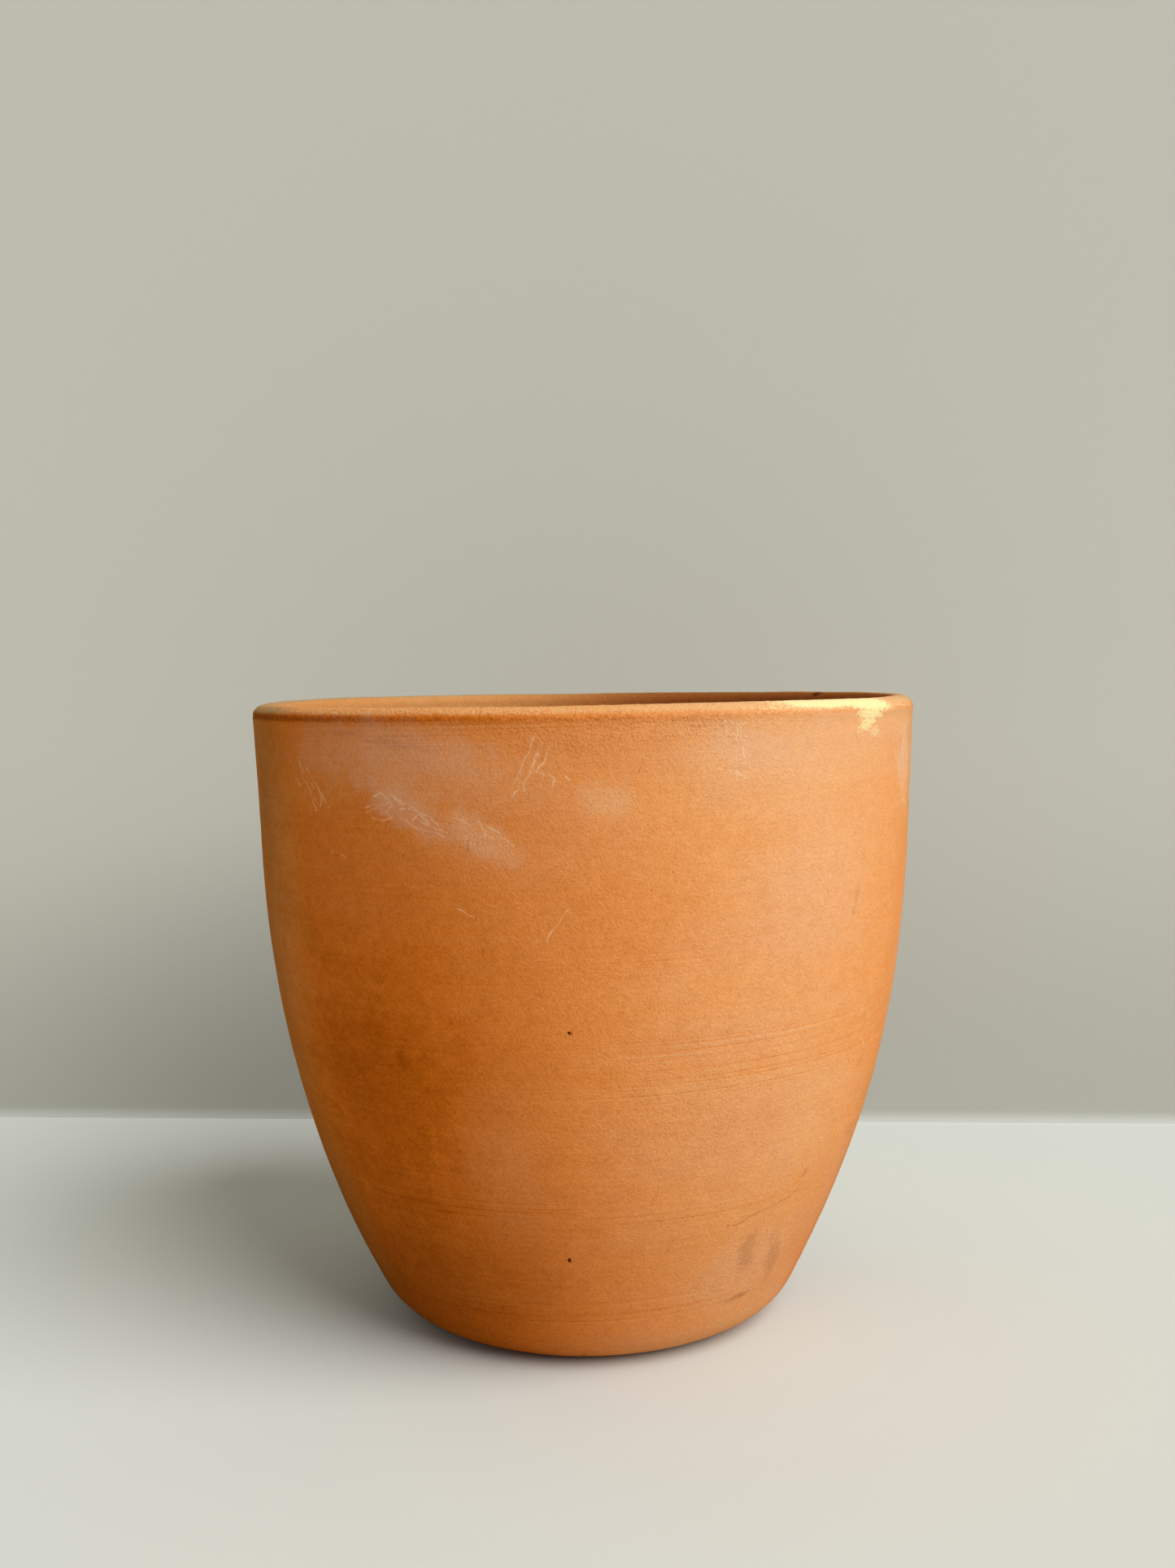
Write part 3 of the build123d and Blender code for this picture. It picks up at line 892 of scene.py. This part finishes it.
def farSideColour(shade, c, colour):
    s = farSide
    # a browner far side and edges: partly the clay's own colour, partly painted shade
    left, right, rightBack = (map(math.radians, s[side]) for side in ("left", "right", "rightBack"))
    drift, smallDrift, ragDrift = (math.radians(s[name]) for name in ("drift", "smallDrift", "ragDrift"))
    drifted = c.turn + (c.cloud - 0.5) * drift + (c.smallCloud - 0.5) * smallDrift + c.rag * ragDrift
    onRight = drifted.ease(*right) * s["rightPart"] + drifted.ease(*rightBack) * (1 - s["rightPart"])
    brownAndShade = drifted.ease(*left).most(onRight) * c.smallCloud.ease(*s["smallFrom"]).atLeast(s["least"])
    brownAndShade = brownAndShade.most(patchesMask(c.wall, c.rag, olivePatches)) * (c.outside + c.crown)
    return shade.wash(brownAndShade, colour, s["tint"])


def coated(shade, c, colour):
    # What lies on the clay: a haze of salts and dust in the scratches; and a painted patch of sunlight on the lip
    s = clayCoatSet
    bloom = patchesMask(c.wall, c.rag + (c.smallRag - 0.5) * s["bloomRag"], bloomPatches) * c.outside
    colour = shade.mix(bloom + c.rubs * s["rubBloom"], colour, clayCoats["bloom"])
    # the dust in the scratches shows more on the side facing the lamp: partly painted light
    dusty = c.scratches * (c.pale * s["scratchPale"] + s["scratchLeast"])
    colour = shade.mix(dusty, colour, clayCoats["scratch"])
    # a painted patch of sunlight on the lip
    sunHere = patchesMask(c.wall, clayNoise(c.place, "stringy") - 0.5, sunPatches)
    paintedSun = (sunHere + (c.grain + c.dust - 1) * s["limeGrain"]).ease(*s["limeEdge"])
    paintedSun = paintedSun * sunHere.ease(*s["limeFrom"]) * (c.outside + c.crown).clamped()
    return shade.mix(paintedSun, colour, clayCoats["paintedSun"])


def clayNormal(shade, c):
    r = clayRelief
    relief = c.grain * r["grain"] + c.dust * r["dust"] + c.smallRag * r["smallRag"] + c.streaks * r["streaks"]
    relief = (relief + c.lines * r["lines"] + c.smallCloud * r["smallCloud"]) * mm
    relief = relief + (c.crown + c.crease + c.sandy * r["sandy"]) * c.grain * (r["rough"] * mm)
    relief = relief - c.sand * (r["sand"] * mm)
    return shade.node("ShaderNodeBump", {}, {"Strength": 1.0, "Distance": 1.0, "Height": relief})


def makeClay(starts):
    shade = Shade("terracotta")
    c = clayPlaces(shade, starts)
    addNoises(shade, c)
    tone = clayPaleness(shade, c)
    addStrokes(shade, c)
    tone = markPaleness(c, tone)
    colour = firedColour(shade, c, tone)
    colour = darkened(shade, c, colour)
    colour = mouthColour(shade, c, colour)
    colour = farSideColour(shade, c, colour)
    colour = coated(shade, c, colour)
    normal = clayNormal(shade, c)
    roughness = clayGloss["roughness"] + c.grain * clayGloss["grain"] + c.dark * clayGloss["dark"]
    clay = shade.node(
        "ShaderNodeBsdfPrincipled", {},
        {"Base Color": colour, "Roughness": roughness, "Normal": normal, "Specular IOR Level": clayGloss["specular"]},
    )
    print("clay", len(shade.tree.nodes), "nodes")
    return shade.finish(clay)


pot.data.materials.append(makeClay(potStarts))

# Camera: where it stood, how far it tips down and how far it leans

cameraPlace = {
    "right": 1.6, "back": 749.3, "up": 292.9, "tipDown": 4.07, "lean": -0.616, "lens": 37.344, "sensor": 36,
}


def makeCamera():
    c = cameraPlace
    data = bpy.data.cameras.new("camera")
    data.lens = c["lens"]
    data.sensor_width = c["sensor"]
    camera = addObject("camera", data)
    turn = Euler((math.radians(90 - c["tipDown"]), 0, 0)).to_matrix()
    lean = Euler((0, 0, math.radians(c["lean"]))).to_matrix()
    camera.matrix_world = (turn @ lean).to_4x4()
    camera.location = Vector((c["right"], -c["back"], c["up"])) * mm
    bpy.context.scene.camera = camera
    print("camera", tuple(round(v, 4) for v in camera.location))


makeCamera()

# Stage: a pale floor and a pale wall; the wall can't be seen from behind

stageSet = {
    "wallBehind": 288, "turned": 3.35, "width": 6000, "front": 3000, "height": 3200,
    "edgeFade": (0.1, 9), "footFade": 260,  # heights where the floor's colour ends, and the wall's darker foot
    # the wall's foot is darker: painted shade in the corner with the floor
    "floorColour": (0.60, 0.62, 0.575), "wallColour": (0.53, 0.53, 0.465), "wallFootShade": 0.80, "roughness": 0.9,
}


def makeStage():
    s = stageSet
    half = s["width"] / 2
    profile = [Vector((-s["front"], 0)), Vector((s["wallBehind"], 0)), Vector((s["wallBehind"], s["height"]))]
    mesh = bmesh.new()
    verts = [mesh.verts.new((-half * mm, p.x * mm, p.y * mm)) for p in profile]
    edges = [mesh.edges.new(pair) for pair in zip(verts, verts[1:])]
    swept = bmesh.ops.extrude_edge_only(mesh, edges=edges)["geom"]
    bmesh.ops.translate(
        mesh, vec=(s["width"] * mm, 0, 0), verts=[item for item in swept if isinstance(item, bmesh.types.BMVert)]
    )
    turned = Matrix.Rotation(-math.radians(s["turned"]), 3, "Z")
    bmesh.ops.rotate(mesh, verts=mesh.verts, cent=(0, 0, 0), matrix=turned)
    mesh.normal_update()
    for face in mesh.faces:
        if face.normal.z - face.normal.y < 0:
            face.normal_flip()
    stage = addMesh("stage", mesh)
    shade = Shade("plaster")
    place = shade.node("ShaderNodeTexCoord", out=3)
    height = shade.node("ShaderNodeSeparateXYZ", {}, {0: place}, out=2)
    # the wall darkens towards the floor: painted shade
    cornerShadeColour = tuple(part * s["wallFootShade"] for part in s["wallColour"])
    wallTone = shade.mix(height.ease(0, s["footFade"] * mm), cornerShadeColour, s["wallColour"])
    colour = shade.mix(height.ease(*metres(s["edgeFade"])), s["floorColour"], wallTone)
    plaster = shade.node("ShaderNodeBsdfPrincipled", {}, {"Base Color": colour, "Roughness": s["roughness"]})
    clear = shade.node("ShaderNodeBsdfTransparent")
    behind = shade.node("ShaderNodeNewGeometry", out=6)
    stage.data.materials.append(shade.finish(shade.node("ShaderNodeMixShader", {}, {0: behind, 1: plaster, 2: clear})))


makeStage()

# Light: one soft lamp far off to the right of the camera, and a dim even sky

lightSet = {
    "keyAngle": 50, "keyHeight": 42, "keyStrength": 1.09, "keySoftness": 50,
    "skyColour": (1.0, 0.98, 0.95), "skyStrength": 0.34, "backColour": (0.56, 0.53, 0.46),
}


def makeLights():
    s = lightSet
    data = bpy.data.lights.new("key", "SUN")
    data.energy = s["keyStrength"] * math.pi
    data.angle = math.radians(s["keySoftness"])
    key = addObject("key", data)
    turn, rise = math.radians(s["keyAngle"]), math.radians(s["keyHeight"])
    away = Vector((math.sin(turn) * math.cos(rise), -math.cos(turn) * math.cos(rise), math.sin(rise)))
    key.rotation_euler = (-away).to_track_quat("-Z", "Y").to_euler()
    world = bpy.data.worlds.new("sky")
    bpy.context.scene.world = world
    world.use_nodes = True
    nodes, links = world.node_tree.nodes, world.node_tree.links
    nodes.clear()
    sky = nodes.new("ShaderNodeBackground")
    sky.inputs["Color"].default_value = (*s["skyColour"], 1)
    sky.inputs["Strength"].default_value = s["skyStrength"]
    back = nodes.new("ShaderNodeBackground")
    back.inputs["Color"].default_value = (*s["backColour"], 1)
    back.inputs["Strength"].default_value = 1
    path = nodes.new("ShaderNodeLightPath")
    either = nodes.new("ShaderNodeMixShader")
    links.new(path.outputs["Is Camera Ray"], either.inputs[0])
    links.new(sky.outputs[0], either.inputs[1])
    links.new(back.outputs[0], either.inputs[2])
    links.new(either.outputs[0], nodes.new("ShaderNodeOutputWorld").inputs["Surface"])


makeLights()
bpy.context.scene.view_settings.view_transform = "Standard"
